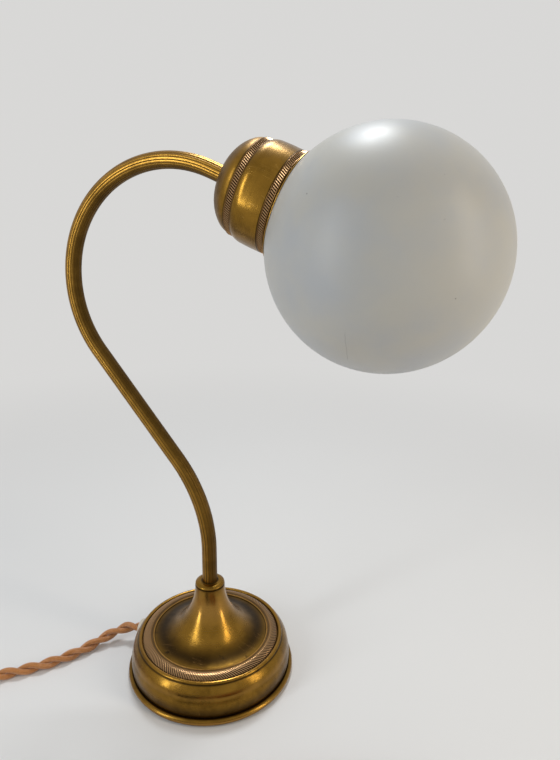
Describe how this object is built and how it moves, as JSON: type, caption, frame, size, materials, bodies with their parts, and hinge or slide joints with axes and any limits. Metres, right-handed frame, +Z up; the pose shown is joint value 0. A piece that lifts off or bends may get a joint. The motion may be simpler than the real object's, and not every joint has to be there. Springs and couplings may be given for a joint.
{
  "type": "glass globe table lamp",
  "caption": "Table lamp: opal glass globe in a milled brass gallery, held by an S-shaped reeded brass tube on a round spun base, with a twisted textile flex.",
  "frame": {"origin": "middle of the underside of the felt pad under the base", "axes": "+Z up, +X towards the side on which the globe hangs; neck, gallery and globe lie in the XZ plane"},
  "size_m": [0.3211, 0.2437, 0.3577],
  "materials": {
    "felt": "short pressed pile",
    "plate_steel": "plain bright sheet",
    "fixings": "plain turned steel",
    "iron": "rough sand casting",
    "base_brass": "spun, satin, aged",
    "milled_brass": "fine slanted milling, aged in the grooves",
    "neck_brass": "satin, fine lengthwise reeds",
    "gallery_brass": "satin with light scratches",
    "spring_brass": "bare rolled strip",
    "nylon": "white nylon",
    "core": "textile covered cores",
    "porcelain": "white moulded insulator",
    "opal_glass": "opal white, satin",
    "bulb_white": "milky plastic",
    "bulb_metal": "plain",
    "flex": "two twisted textile covered cores, golden tan",
    "switch_plastic": "dark brown moulded plastic",
    "pins": "bright plated brass"
  },
  "bodies": {
    "lamp": {"base_felt": "felt", "base_plate": "plate_steel", "plate_screws": "fixings", "base_weight": "iron", "base_shell": "base_brass", "milled_base_ring": "milled_brass", "neck_collar": "base_brass", "tail_washer": "fixings", "tail_nut": "fixings", "cord_clamp": "fixings", "clamp_screws": "fixings", "cord_bush": "nylon", "swan_neck": "neck_brass", "inner_flex": "core", "gallery_cap": "gallery_brass", "gallery_washer": "fixings", "gallery_nut": "fixings", "rear_milled_ring": "milled_brass", "gallery_drum": "gallery_brass", "front_milled_ring": "milled_brass", "gallery_lip": "gallery_brass", "globe_spring": "spring_brass", "holder_cap": "porcelain", "holder_body": "porcelain", "holder_shell": "spring_brass", "holder_contact": "spring_brass", "cord_run_base": "flex", "switch_base": "switch_plastic", "switch_cover": "switch_plastic", "switch_pin": "fixings", "switch_screws": "fixings", "cord_run_switch": "flex", "cord_coil": "flex", "cord_run_plug": "flex", "plug_body": "switch_plastic", "plug_pins": "pins"},
    "globe": {"globe": "opal_glass"},
    "bulb": {"bulb_cap": "bulb_metal", "bulb_contact": "bulb_metal", "bulb_body": "bulb_white", "bulb_diffuser": "bulb_white"},
    "rocker": {"switch_rocker": "switch_plastic"}
  },
  "joints": [
    {"name": "globe_pull", "type": "slide", "parent": "lamp", "child": "globe", "axis": [0.9291, 0, -0.3697], "range_m": [0, 0.15]},
    {"name": "bulb_turn", "type": "hinge", "parent": "lamp", "child": "bulb", "pos_m": [0.04101, 0, 0.32011], "axis": [0.9291, 0, -0.3697], "range_deg": [0, 900]},
    {"name": "switch_rock", "type": "hinge", "parent": "lamp", "child": "rocker", "pos_m": [0.03193, -0.16852, 0.0135], "axis": [-0.0698, -0.9976, 0], "range_deg": [0, 18]}
  ]
}
